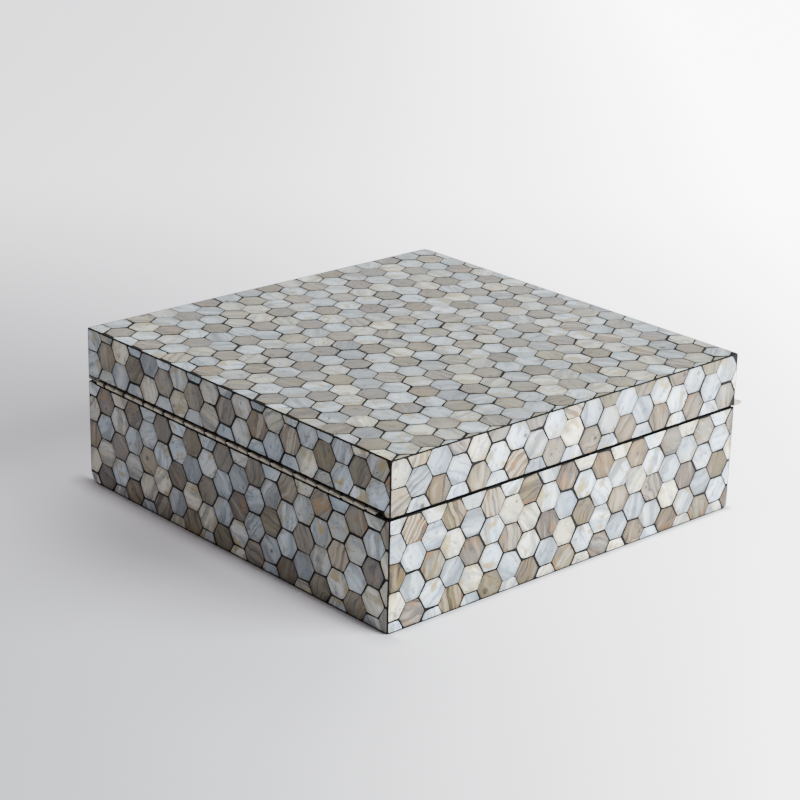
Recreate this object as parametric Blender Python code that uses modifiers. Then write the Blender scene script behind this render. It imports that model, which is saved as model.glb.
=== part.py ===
"""A square hinged box clad in a mosaic of hexagonal shell tiles.

Metres, +Z up. The origin is the centre of the underside. The lid opens at the front, -Y,
and turns on a continuous hinge let into the rims at the back, +Y.
"""

import math

import bmesh
import bpy
from mathutils import Matrix, Vector

# Driving dimensions: the box
WIDTH = 0.350
DEPTH = 0.350
BASE_HEIGHT = 0.0833
LID_HEIGHT = 0.0415
RIM_GAP = 0.0017
WALL = 0.010
FLOOR = 0.008
CEILING = 0.008
SKIN = 0.002
CORNER_ROUND = 0.006

# Driving dimensions: the continuous hinge
HINGE_END_GAP = 0.013
HINGE_OFFSET = 0.0014
KNUCKLE_PITCH = 0.01267
SHORTEST_KNUCKLE = 0.006
WIDE_JOINT = 0.0008
PIN_RADIUS = 0.0008
LEAF_THICKNESS = 0.0007
LEAF_WIDTH = 0.0105
BASE_REBATE = 0.0007
SKIN_RELIEF = 0.0015
REBATE_RUNOUT = 0.005
LID_STOP = math.radians(100.0)

# Driving dimensions: the hinge screws
SCREWS_PER_LEAF = 5
SCREW_INSET = 0.022
SCREW_HEAD_RADIUS = 0.0020
SCREW_HEAD_DEPTH = 0.0010
SCREW_SHANK_RADIUS = 0.0011
SCREW_LENGTH = 0.0085
SCREW_TIP = 0.0025

# Driving dimensions: the lift tab on the front of the lid
TAB_WIDTH = 0.012
TAB_REACH = 0.0095
TAB_ROOT_HEIGHT = 0.0056
TAB_TIP_HEIGHT = 0.0025
TAB_TIP_RISE = 0.0005
TAB_BELOW_RIM = 0.0012
TAB_FROM_END = 0.0007
TAB_EDGE_ROUND = 0.0009

# The space left between two pieces that touch
SEAT = 0.0003

# How far a cutter reaches past the faces that it cuts
OVERCUT = 0.002

# Heights and half widths that follow from the driving dimensions
LID_BOTTOM = BASE_HEIGHT + RIM_GAP
TOP = LID_BOTTOM + LID_HEIGHT
CEILING_TOP = TOP - SKIN - SEAT
CEILING_BOTTOM = CEILING_TOP - CEILING
CORE_X = WIDTH / 2 - SKIN - SEAT
CORE_Y = DEPTH / 2 - SKIN - SEAT
INNER_X = CORE_X - WALL
INNER_Y = CORE_Y - WALL
HINGE_LENGTH = WIDTH - 2 * HINGE_END_GAP

# The hinge axis: the barrel stands on the base's rebate, and its depth in the back face is what
# makes the lid's back corners meet the base's rim at the stop
BARREL_RADIUS = PIN_RADIUS + SEAT + LEAF_THICKNESS
BASE_REBATE_FLOOR = BASE_HEIGHT - BASE_REBATE
AXIS_Z = BASE_REBATE_FLOOR + SEAT + BARREL_RADIUS
LID_REBATE_FLOOR = AXIS_Z + BARREL_RADIUS + SEAT
AXIS_INSET = (AXIS_Z - BASE_HEIGHT) / math.tan(LID_STOP / 2)
AXIS_Y = DEPTH / 2 - AXIS_INSET
AXIS = Vector((0.0, AXIS_Y, AXIS_Z))

BARREL_SIDES = 16
BORE_SIDES = 12


def clear_scene():
    """Empties the scene that the script starts in."""
    for thing in list(bpy.data.objects):
        bpy.data.objects.remove(thing, do_unlink=True)


def new_collection(name):
    collection = bpy.data.collections.new(name)
    bpy.context.scene.collection.children.link(collection)
    return collection


def principled(name, colour, roughness, metallic=0.0):
    """A plain material of one colour."""
    made = bpy.data.materials.new(name)
    made.use_nodes = True
    shader = made.node_tree.nodes["Principled BSDF"]
    shader.inputs["Base Color"].default_value = (*colour, 1.0)
    shader.inputs["Roughness"].default_value = roughness
    shader.inputs["Metallic"].default_value = metallic
    made.diffuse_color = (*colour, 1.0)
    return made


def mesh_from(name, shape):
    """Turns a finished bmesh into a mesh with its faces pointing out."""
    bmesh.ops.recalc_face_normals(shape, faces=shape.faces)
    mesh = bpy.data.meshes.new(name)
    shape.to_mesh(mesh)
    shape.free()
    return mesh


def add_piece(name, mesh, centre, finish, carrier):
    """Places a piece of the box at a world point, carried by an empty."""
    piece = bpy.data.objects.new(name, mesh)
    mesh.materials.append(finish)
    box_collection.objects.link(piece)
    piece.parent = carrier
    piece.location = Vector(centre) - carrier.location
    return piece


def add_cutter(name, mesh, centre=(0.0, 0.0, 0.0)):
    """Places a hidden shape that only cuts other pieces."""
    cutter = bpy.data.objects.new(name, mesh)
    cutter_collection.objects.link(cutter)
    cutter.location = centre
    cutter.hide_render = True
    cutter.display_type = "WIRE"
    return cutter


def shape_with(piece, cutter, operation="DIFFERENCE"):
    modifier = piece.modifiers.new(cutter.name, "BOOLEAN")
    modifier.operation = operation
    modifier.solver = "EXACT"
    modifier.object = cutter


def box_into(shape, low, high):
    """Adds a straight block between two corners to a bmesh."""
    low = Vector(low)
    high = Vector(high)
    made = bmesh.ops.create_cube(shape, size=1.0)["verts"]
    bmesh.ops.scale(shape, vec=high - low, verts=made)
    bmesh.ops.translate(shape, vec=(low + high) / 2, verts=made)
    return made


def board(name, low, high, finish, carrier):
    """A straight board or panel between two world corners, with its origin at its middle."""
    centre = (Vector(low) + Vector(high)) / 2
    shape = bmesh.new()
    box_into(shape, Vector(low) - centre, Vector(high) - centre)
    return add_piece(name, mesh_from(name, shape), centre, finish, carrier)


def rounded_block(name, low, high, rounded_height):
    """A block with four of its corners rounded off, as hand sanding leaves them."""
    shape = bmesh.new()
    made = box_into(shape, low, high)
    corners = [point for point in made if abs(point.co.z - rounded_height) < SEAT]
    bmesh.ops.bevel(
        shape,
        geom=corners,
        offset=CORNER_ROUND,
        offset_type="OFFSET",
        segments=4,
        profile=0.5,
        affect="VERTICES",
    )
    return add_cutter(name, mesh_from(name, shape))


def extruded_along_x(name, outline, length):
    """The mesh of a flat outline of (y, z) points, extruded along X about its middle."""
    curve = bpy.data.curves.new(name + "_outline", "CURVE")
    curve.dimensions = "2D"
    curve.fill_mode = "BOTH"
    curve.extrude = length / 2
    spline = curve.splines.new("POLY")
    spline.points.add(len(outline) - 1)
    for point, (along_y, along_z) in zip(spline.points, outline):
        point.co = (along_y, along_z, 0.0, 1.0)
    spline.use_cyclic_u = True
    holder = bpy.data.objects.new(name + "_outline", curve)
    cutter_collection.objects.link(holder)
    bpy.context.view_layer.update()
    evaluated = holder.evaluated_get(bpy.context.evaluated_depsgraph_get())
    flat = bpy.data.meshes.new_from_object(evaluated)
    bpy.data.objects.remove(holder, do_unlink=True)
    shape = bmesh.new()
    shape.from_mesh(flat)
    bpy.data.meshes.remove(flat)
    bmesh.ops.remove_doubles(shape, verts=shape.verts, dist=1e-6)
    turn = Matrix(((0, 0, 1, 0), (1, 0, 0, 0), (0, 1, 0, 0), (0, 0, 0, 1)))
    bmesh.ops.transform(shape, matrix=turn, verts=shape.verts)
    return mesh_from(name, shape)


def rod_along_x(name, radius, length, sides):
    """The mesh of a round rod along X about its middle."""
    shape = bmesh.new()
    bmesh.ops.create_cone(
        shape,
        cap_ends=True,
        segments=sides,
        radius1=radius,
        radius2=radius,
        depth=length,
        matrix=Matrix.Rotation(math.pi / 2, 4, "Y"),
    )
    mesh = mesh_from(name, shape)
    mesh.shade_smooth()
    mesh.set_sharp_from_angle(angle=math.radians(40))
    return mesh


def turned(name, profile, sides):
    """The mesh of a profile of (radius, z) points, listed top to bottom, turned about Z."""
    line = bpy.data.meshes.new(name + "_profile")
    points = [(radius, 0.0, height) for radius, height in profile]
    edges = [(index, index + 1) for index in range(len(points) - 1)]
    line.from_pydata(points, edges, [])
    holder = bpy.data.objects.new(name + "_profile", line)
    cutter_collection.objects.link(holder)
    screw = holder.modifiers.new("turn", "SCREW")
    screw.axis = "Z"
    screw.angle = math.tau
    screw.steps = sides
    screw.render_steps = sides
    screw.use_merge_vertices = True
    screw.merge_threshold = 1e-5
    bpy.context.view_layer.update()
    evaluated = holder.evaluated_get(bpy.context.evaluated_depsgraph_get())
    mesh = bpy.data.meshes.new_from_object(evaluated)
    mesh.name = name
    bpy.data.objects.remove(holder, do_unlink=True)
    bpy.data.meshes.remove(line)
    shape = bmesh.new()
    shape.from_mesh(mesh)
    bmesh.ops.remove_doubles(shape, verts=shape.verts, dist=1e-6)
    bpy.data.meshes.remove(mesh)
    return mesh_from(name, shape)


def build_base_boards(carrier):
    """The floor and four walls of the base, butted with the front and back running through."""
    side_y = INNER_Y - SEAT
    floor_x = INNER_X - SEAT
    board("base_floor", (-floor_x, -side_y, 0), (floor_x, side_y, FLOOR), lacquer, carrier)
    for name, end in (("base_wall_left", -1), ("base_wall_right", 1)):
        near, far = sorted((end * INNER_X, end * CORE_X))
        board(name, (near, -side_y, 0), (far, side_y, BASE_HEIGHT), lacquer, carrier)
    board("base_wall_front", (-CORE_X, -CORE_Y, 0), (CORE_X, -INNER_Y, BASE_HEIGHT), lacquer, carrier)
    return board("base_wall_back", (-CORE_X, INNER_Y, 0), (CORE_X, CORE_Y, BASE_HEIGHT), lacquer, carrier)


def build_lid_boards(carrier):
    """The top and four walls of the lid; the top covers the walls."""
    side_y = INNER_Y - SEAT
    wall_top = CEILING_BOTTOM - SEAT
    low = LID_BOTTOM
    board("lid_top", (-CORE_X, -CORE_Y, CEILING_BOTTOM), (CORE_X, CORE_Y, CEILING_TOP), lacquer, carrier)
    for name, end in (("lid_wall_left", -1), ("lid_wall_right", 1)):
        near, far = sorted((end * INNER_X, end * CORE_X))
        board(name, (near, -side_y, low), (far, side_y, wall_top), lacquer, carrier)
    board("lid_wall_front", (-CORE_X, -CORE_Y, low), (CORE_X, -INNER_Y, wall_top), lacquer, carrier)
    return board("lid_wall_back", (-CORE_X, INNER_Y, low), (CORE_X, CORE_Y, wall_top), lacquer, carrier)


def build_wall_skins(prefix, low, high, envelope, carrier):
    """The four mosaic panels round the base or the lid; the front and back ones run through."""
    edge_x = WIDTH / 2
    edge_y = DEPTH / 2
    side_y = edge_y - SKIN - SEAT
    for name, end in (("left", -1), ("right", 1)):
        near, far = sorted((end * (edge_x - SKIN), end * edge_x))
        skin = board(f"{prefix}_mosaic_{name}", (near, -side_y, low), (far, side_y, high), shell, carrier)
        shape_with(skin, envelope, "INTERSECT")
    for name, end in (("front", -1), ("back", 1)):
        near, far = sorted((end * (edge_y - SKIN), end * edge_y))
        skin = board(f"{prefix}_mosaic_{name}", (-edge_x, near, low), (edge_x, far, high), shell, carrier)
        shape_with(skin, envelope, "INTERSECT")
    return skin


def build_top_skin(envelope, carrier):
    low = (-WIDTH / 2, -DEPTH / 2, TOP - SKIN)
    skin = board("lid_mosaic_top", low, (WIDTH / 2, DEPTH / 2, TOP), shell, carrier)
    shape_with(skin, envelope, "INTERSECT")


def rebate_cutter(name, floor_height, side):
    """A cutter for the long shallow rebate that a hinge leaf lies in, up or down from a rim."""
    half = HINGE_LENGTH / 2 + REBATE_RUNOUT
    rim = LID_BOTTOM if side > 0 else BASE_HEIGHT
    near, far = sorted((floor_height, rim - side * RIM_GAP / 2))
    low = (HINGE_OFFSET - half, INNER_Y - OVERCUT, near)
    high = (HINGE_OFFSET + half, DEPTH / 2 + OVERCUT, far)
    shape = bmesh.new()
    box_into(shape, low, high)
    return add_cutter(name, mesh_from(name, shape))


def joint_places():
    """The places along the barrel where one knuckle ends and the next begins, ends included."""
    half = HINGE_LENGTH / 2
    each_side = int((half - SHORTEST_KNUCKLE) / KNUCKLE_PITCH)
    inner = [index * KNUCKLE_PITCH for index in range(-each_side, each_side + 1)]
    gaps = [WIDE_JOINT if (index + each_side) % 2 == 0 else SEAT for index in range(-each_side, each_side + 1)]
    return [-half - OVERCUT, *inner, half + OVERCUT], [0.0, *gaps, 0.0]


def knuckle_comb(name, first):
    """A cutter with one tooth for each of the other leaf's knuckles, about the hinge axis."""
    places, gaps = joint_places()
    depth = BARREL_RADIUS + SEAT
    shape = bmesh.new()
    for index in range(first, len(places) - 1, 2):
        start = places[index] - gaps[index] / 2
        stop = places[index + 1] + gaps[index + 1] / 2
        box_into(shape, (start, -depth, -depth - OVERCUT), (stop, depth + OVERCUT, depth + OVERCUT))
    return add_cutter(name, mesh_from(name, shape), AXIS + Vector((HINGE_OFFSET, 0, 0)))


def leaf_outline(side):
    """A leaf and its curl in the plane across the hinge, about the axis; side is 1 for the lid's."""
    inner = BARREL_RADIUS - LEAF_THICKNESS
    sweep = 1.5 * math.pi + math.asin(inner / BARREL_RADIUS)
    steps = BARREL_SIDES - 2
    points = [(-LEAF_WIDTH, BARREL_RADIUS)]
    for index in range(steps + 1):
        angle = math.pi / 2 - sweep * index / steps
        points.append((BARREL_RADIUS * math.cos(angle), BARREL_RADIUS * math.sin(angle)))
    points.append((-LEAF_WIDTH, inner))
    return [(along, side * up) for along, up in points]


def build_leaf(name, side, first_other, bore, screw_holes, carrier):
    """One hinge leaf with its knuckles, bored for the pin and the screws."""
    mesh = extruded_along_x(name, leaf_outline(side), HINGE_LENGTH)
    leaf = add_piece(name, mesh, AXIS + Vector((HINGE_OFFSET, 0, 0)), hinge_metal, carrier)
    shape_with(leaf, bore)
    shape_with(leaf, knuckle_comb(name + "_comb", first_other))
    shape_with(leaf, screw_holes)
    return leaf


def screw_profile(clearance):
    """A countersunk screw as (radius, z) points under its flush head; a clearance makes its hole."""
    mouth = OVERCUT if clearance else 0.0
    head = SCREW_HEAD_RADIUS + clearance
    shank = SCREW_SHANK_RADIUS + clearance
    points = [(0.0, mouth), (head, mouth)]
    if clearance:
        points.append((head, 0.0))
    points.append((shank, -SCREW_HEAD_DEPTH))
    points.append((shank, SCREW_TIP - SCREW_LENGTH))
    points.append((0.0, -SCREW_LENGTH - clearance))
    return points


def screw_places(side):
    """Where the heads of one leaf's screws lie."""
    reach = HINGE_LENGTH / 2 - SCREW_INSET
    pitch = 2 * reach / (SCREWS_PER_LEAF - 1)
    height = AXIS_Z + side * (BARREL_RADIUS - LEAF_THICKNESS)
    middle = AXIS_Y - (LEAF_WIDTH + BARREL_RADIUS) / 2
    return [Vector((HINGE_OFFSET - reach + index * pitch, middle, height)) for index in range(SCREWS_PER_LEAF)]


def screw_turn(side):
    """The lid's screws point up and the base's point down."""
    return Matrix.Rotation(math.pi, 4, "X") if side > 0 else Matrix.Identity(4)


def build_screw_holes(name, side):
    """One cutter that holds the holes of all screws of a leaf."""
    hole = turned(name + "_one", screw_profile(SEAT), BORE_SIDES)
    shape = bmesh.new()
    for place in screw_places(side):
        copy = hole.copy()
        copy.transform(Matrix.Translation(place) @ screw_turn(side))
        shape.from_mesh(copy)
        bpy.data.meshes.remove(copy)
    bpy.data.meshes.remove(hole)
    return add_cutter(name, mesh_from(name, shape))


def build_screws(prefix, side, carrier):
    """The screws of one leaf, each a piece of its own with its own copy of the mesh."""
    for index, place in enumerate(screw_places(side), start=1):
        name = f"{prefix}_{index}"
        mesh = turned(name, screw_profile(0.0), BORE_SIDES)
        mesh.transform(screw_turn(side))
        add_piece(name, mesh, place, hinge_metal, carrier)


def build_tab(carrier):
    """The small lift tab on the front of the lid, near its left end, sloping down to a thin tip.

    It hangs a little below the lid's rim, in front of the gap, so that a finger can get under it.
    """
    low_x = -WIDTH / 2 + TAB_FROM_END
    root_y = -DEPTH / 2 - SEAT
    low_z = LID_BOTTOM - TAB_BELOW_RIM
    size = Vector((TAB_WIDTH, TAB_REACH, TAB_ROOT_HEIGHT))
    centre = Vector((low_x + TAB_WIDTH / 2, root_y - TAB_REACH / 2, low_z + TAB_ROOT_HEIGHT / 2))
    shape = bmesh.new()
    points = box_into(shape, -size / 2, size / 2)
    tip_low = TAB_TIP_RISE - TAB_ROOT_HEIGHT / 2
    for point in points:
        if point.co.y < 0:
            point.co.z = tip_low if point.co.z < 0 else tip_low + TAB_TIP_HEIGHT
    free_edges = [edge for edge in shape.edges if min(v.co.y for v in edge.verts) < 0]
    bmesh.ops.bevel(
        shape,
        geom=free_edges,
        offset=TAB_EDGE_ROUND,
        offset_type="OFFSET",
        segments=3,
        profile=0.5,
        affect="EDGES",
    )
    mesh = mesh_from("lift_tab", shape)
    mesh.shade_smooth()
    mesh.set_sharp_from_angle(angle=math.radians(50))
    add_piece("lift_tab", mesh, centre, bone, carrier)


def build_hinge(base_carrier, lid_carrier, base_wall, lid_wall):
    """The pin, two leaves and their screws, with the holes they need in the walls."""
    bore = add_cutter(
        "pin_bore",
        rod_along_x("pin_bore", PIN_RADIUS + SEAT, HINGE_LENGTH + 2 * OVERCUT, BORE_SIDES),
        AXIS + Vector((HINGE_OFFSET, 0, 0)),
    )
    base_holes = build_screw_holes("base_screw_holes", -1)
    lid_holes = build_screw_holes("lid_screw_holes", 1)
    shape_with(base_wall, base_holes)
    shape_with(lid_wall, lid_holes)
    build_leaf("hinge_leaf_base", -1, 1, bore, base_holes, base_carrier)
    build_leaf("hinge_leaf_lid", 1, 0, bore, lid_holes, lid_carrier)
    pin = rod_along_x("hinge_pin", PIN_RADIUS, HINGE_LENGTH, BORE_SIDES)
    add_piece("hinge_pin", pin, AXIS + Vector((HINGE_OFFSET, 0, 0)), hinge_metal, base_carrier)
    build_screws("base_screw", -1, base_carrier)
    build_screws("lid_screw", 1, lid_carrier)


def add_carrier(name, place):
    """An empty that carries the pieces that move together."""
    carrier = bpy.data.objects.new(name, None)
    carrier.location = place
    box_collection.objects.link(carrier)
    return carrier


clear_scene()
box_collection = new_collection("mother_of_pearl_box")
cutter_collection = new_collection("cutters")

shell = principled("shell_mosaic", (0.56, 0.56, 0.52), 0.25)
lacquer = principled("black_lacquer", (0.015, 0.014, 0.013), 0.35)
hinge_metal = principled("hinge_metal", (0.55, 0.52, 0.46), 0.35, 1.0)
bone = principled("bone", (0.74, 0.69, 0.58), 0.4)

base = add_carrier("base_carrier", Vector((0, 0, 0)))
lid = add_carrier("lid_carrier", AXIS)

base_envelope = rounded_block(
    "base_envelope", (-WIDTH / 2, -DEPTH / 2, 0), (WIDTH / 2, DEPTH / 2, BASE_HEIGHT + OVERCUT), 0.0
)
lid_envelope = rounded_block(
    "lid_envelope", (-WIDTH / 2, -DEPTH / 2, LID_BOTTOM - OVERCUT), (WIDTH / 2, DEPTH / 2, TOP), TOP
)

base_back = build_base_boards(base)
lid_back = build_lid_boards(lid)
base_back_skin = build_wall_skins("base", 0.0, BASE_HEIGHT, base_envelope, base)
lid_back_skin = build_wall_skins("lid", LID_BOTTOM, TOP - SKIN - SEAT, lid_envelope, lid)
build_top_skin(lid_envelope, lid)

base_rebate = rebate_cutter("base_rebate", BASE_REBATE_FLOOR, -1)
shape_with(base_back, base_rebate)
shape_with(base_back_skin, base_rebate)
shape_with(lid_back, rebate_cutter("lid_rebate", LID_REBATE_FLOOR, 1))
shape_with(lid_back_skin, rebate_cutter("lid_skin_rebate", LID_REBATE_FLOOR + SKIN_RELIEF, 1))

build_hinge(base, lid, base_back, lid_back)
build_tab(lid)
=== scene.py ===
import math
import random

import bmesh
import bpy
from mathutils import Matrix, Vector


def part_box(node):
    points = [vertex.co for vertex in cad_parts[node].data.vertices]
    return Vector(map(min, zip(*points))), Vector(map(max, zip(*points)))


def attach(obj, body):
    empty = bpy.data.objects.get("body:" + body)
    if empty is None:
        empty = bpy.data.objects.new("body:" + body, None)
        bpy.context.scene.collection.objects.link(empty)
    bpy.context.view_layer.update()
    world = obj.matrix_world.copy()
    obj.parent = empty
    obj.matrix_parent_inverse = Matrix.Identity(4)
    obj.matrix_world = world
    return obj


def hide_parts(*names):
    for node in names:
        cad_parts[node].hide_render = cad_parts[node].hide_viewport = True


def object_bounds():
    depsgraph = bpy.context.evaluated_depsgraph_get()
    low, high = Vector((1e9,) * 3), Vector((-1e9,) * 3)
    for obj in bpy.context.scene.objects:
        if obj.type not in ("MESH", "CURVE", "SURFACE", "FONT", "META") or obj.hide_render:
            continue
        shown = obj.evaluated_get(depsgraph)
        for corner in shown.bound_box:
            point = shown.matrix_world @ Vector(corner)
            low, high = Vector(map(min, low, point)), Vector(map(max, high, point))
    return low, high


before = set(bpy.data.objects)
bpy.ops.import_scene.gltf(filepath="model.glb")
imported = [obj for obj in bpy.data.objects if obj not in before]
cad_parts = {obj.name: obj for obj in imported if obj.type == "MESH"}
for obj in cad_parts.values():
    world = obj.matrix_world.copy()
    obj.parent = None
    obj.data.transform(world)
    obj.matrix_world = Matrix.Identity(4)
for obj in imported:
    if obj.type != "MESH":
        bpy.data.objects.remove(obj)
cad_low, cad_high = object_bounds()

# The camera, fitted to the edges of the box; angles in degrees and lengths in metres
VIEW_AZIMUTH = 227.730
VIEW_ELEVATION = 20.3108
VIEW_ROLL = 1.41004
VIEW_DISTANCE = 1.73279
VIEW_RIGHT = -0.00525
VIEW_UP = 0.07314
FOCAL_LENGTH = 100.244
SENSOR_WIDTH = 36.0

# The tile pattern: regular hexagons, points to the sides, in columns
ROW_PITCH = 0.0212
HALF_ROW = ROW_PITCH / 2
COLUMN_PITCH = 0.01837
DARK_EVERY = 3
GROUT = 0.00117
GROUT_SPREAD = 0.00034
TILE_SHIFT = 0.00016
CORNER_SHIFT = 0.00028
TILE_TURN = math.radians(0.7)
SMALLEST_SHARE = 0.05
TOP_SLOPE = -0.0068
WALL_GRAIN = 84.0
TOP_GRAIN = 48.0

# Heights of the skin, measured in from the face's plane
BED_DEPTH = 0.00020
TILE_DEPTH = 0.00008
TILE_TILT = 0.00005
TILE_EDGE_DROP = 0.00009
TILE_EDGE_WIDTH = 0.00024
TILE_FOOT = 0.0008
SKIN_DEPTH = 0.0022
EDGE_ROUND = 0.00018

# The black margin that each kind of edge keeps outside its tiles, and the kinds that meet another face
EDGE_MARGINS = {"foot": 0.00120, "rim": 0.00045, "mitre": 0.00105, "thin": 0.00110}
MITRED = ("mitre", "thin")

# The recess that the hinge lies in, cut into the lid's lower edge and the base's upper edge
LID_RECESS = 0.0033
BASE_RECESS = 0.0010
RECESS_MARGIN = 0.00030

# How far along its edges each corner of the box is rounded, by its side in X, its side in Y and its end
CORNER_SIZES = {
    (1, 1, "foot"): 0.0110,
    (-1, -1, "foot"): 0.0050,
    (-1, 1, "foot"): 0.0030,
    (1, -1, "foot"): 0.0050,
    (1, -1, "top"): 0.0060,
    (1, 1, "top"): 0.0025,
    (-1, -1, "top"): 0.0025,
    (-1, 1, "top"): 0.0018,
}
CORNER_STEPS = 8

# The hinge
KNUCKLE_PITCH = 0.01267
JOINTS_EACH_SIDE = 12
WIDE_JOINT = 0.0029
NARROW_JOINT = 0.0006
KNUCKLE_EDGE = 0.00020
BARREL_TRIM = 0.0001
LEAF_THICKNESS = 0.0007
LEAF_NOTCH = 0.0030
ROLL_STEPS = 22
SCREWS_PER_LEAF = 5
SCREW_HEAD_RADIUS = 0.0020

# The lift tab
TAB_SECTIONS = 16
TAB_SIDES = 28
TAB_BELLY = 0.0005
TAB_UPTURN = 0.0017
TAB_TIP_TOP = 0.0019
TAB_ROUNDNESS = 0.25

# The stage: the floor's glow is painted light; how it grows towards the right and the back, and fades under the camera
GLOW_LEVEL = 0.17
GLOW_TO_RIGHT = 3.65
GLOW_ON_LEFT = 2.6
GLOW_TO_BACK = 0.50
GLOW_FAR = 1.6
GLOW_NEAR_RIGHT = 5.0
GLOW_NEAR_FADE = (-0.78, -0.50, 0.05)
FOOT_SHADE = (0.0060, 0.12)
BACK_SHADE = (0.0220, 0.22)
FLOOR_RADIUS = 3.6
FLOOR_RIM = 1.4

# Soft spots of more or less glow, painted light and painted shadow on the floor, each by its amount, its place to the
# right and away, and its reach
GLOW_SPOTS = (
    (0.28, -0.32, 0.00, 0.20),
    (-0.24, -0.05, -0.28, 0.16),
    (-0.07, -0.20, -0.10, 0.13),
)

# Painted light and shade on the shell: its colour is brighter, with more depth, on the side that faces the window, and
# darker on the back
SIDE_PAINTED_LIGHT = {"left": 1.0, "back": -1.0}
BACK_PAINTED_SHADE = 0.69


def span(*nodes):
    """The lowest and highest corners of several CAD nodes together."""
    boxes = [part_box(node) for node in nodes]
    low = Vector(min(box[0][axis] for box in boxes) for axis in range(3))
    high = Vector(max(box[1][axis] for box in boxes) for axis in range(3))
    return low, high


SIDES = ("left", "right", "front", "back")
base_low, base_high = span(*[f"base_mosaic_{side}" for side in SIDES])
lid_low, lid_high = span("lid_mosaic_top", *[f"lid_mosaic_{side}" for side in SIDES])
leaf_low, leaf_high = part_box("hinge_leaf_lid")


def smooth(value):
    """Eases from 0 to 1."""
    value = min(1.0, max(0.0, value))
    return value * value * (3.0 - 2.0 * value)


def link(thing):
    bpy.context.scene.collection.objects.link(thing)
    return thing


def finish_piece(name, shape, materials, body, nodes):
    """Makes a mesh object from a bmesh, and places it on its body in the nodes' stead."""
    mesh = bpy.data.meshes.new(name)
    shape.to_mesh(mesh)
    shape.free()
    piece = link(bpy.data.objects.new(name, mesh))
    for material in materials:
        mesh.materials.append(material)
    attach(piece, body)
    if nodes:
        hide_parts(*nodes)
    return piece


# Materials

class Shader:
    """A node material with a Principled shader, and short ways to add nodes to it."""

    def __init__(self, name):
        self.material = bpy.data.materials.new(name)
        self.material.use_nodes = True
        self.tree = self.material.node_tree
        self.bsdf = self.tree.nodes["Principled BSDF"]

    def add(self, kind, settings=None, **inputs):
        """A node of a kind, with its settings and its inputs by name or number."""
        node = self.tree.nodes.new(kind)
        for key, value in (settings or {}).items():
            setattr(node, key, value)
        for key, value in inputs.items():
            self.feed(node, int(key[1:]) if key[1:].isdigit() else key.replace("_", " "), value)
        return node

    def feed(self, node, key, value):
        if isinstance(value, bpy.types.NodeSocket):
            self.tree.links.new(value, node.inputs[key])
        else:
            node.inputs[key].default_value = value

    def set(self, **values):
        for key, value in values.items():
            self.feed(self.bsdf, key.replace("_", " "), value)

    def math(self, operation, first, second=0.0, clamp=False):
        node = self.add("ShaderNodeMath", {"operation": operation, "use_clamp": clamp}, i0=first, i1=second)
        return node.outputs[0]

    def mix(self, share, first, second):
        """A colour between two, by a share."""
        node = self.add("ShaderNodeMix", {"data_type": "RGBA"})
        self.feed(node, "Factor", share)
        self.feed(node, 6, first if isinstance(first, bpy.types.NodeSocket) else (*first, 1.0))
        self.feed(node, 7, second if isinstance(second, bpy.types.NodeSocket) else (*second, 1.0))
        return node.outputs[2]

    def ease(self, value, low, high, bottom=0.0, top=1.0):
        """Maps a value from low and high to bottom and top, smoothly, and stops there."""
        node = self.add("ShaderNodeMapRange", {"interpolation_type": "SMOOTHSTEP"})
        for key, number in (("From Min", low), ("From Max", high), ("To Min", bottom), ("To Max", top)):
            self.feed(node, key, number)
        self.feed(node, "Value", value)
        return node.outputs[0]

    def noise(self, place, scale, detail=2.0, rough=0.5, twist=0.0):
        node = self.add("ShaderNodeTexNoise")
        for key, number in (("Scale", scale), ("Detail", detail), ("Roughness", rough), ("Distortion", twist)):
            self.feed(node, key, number)
        self.feed(node, "Vector", place)
        return node.outputs["Fac"]

    def stretch(self, place, scale):
        node = self.add("ShaderNodeVectorMath", {"operation": "MULTIPLY"}, i0=place, i1=scale)
        return node.outputs[0]

    def bump(self, height, distance, strength=1.0):
        node = self.add("ShaderNodeBump")
        for key, value in (("Strength", strength), ("Distance", distance), ("Height", height)):
            self.feed(node, key, value)
        self.feed(self.bsdf, "Normal", node.outputs[0])


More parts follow.
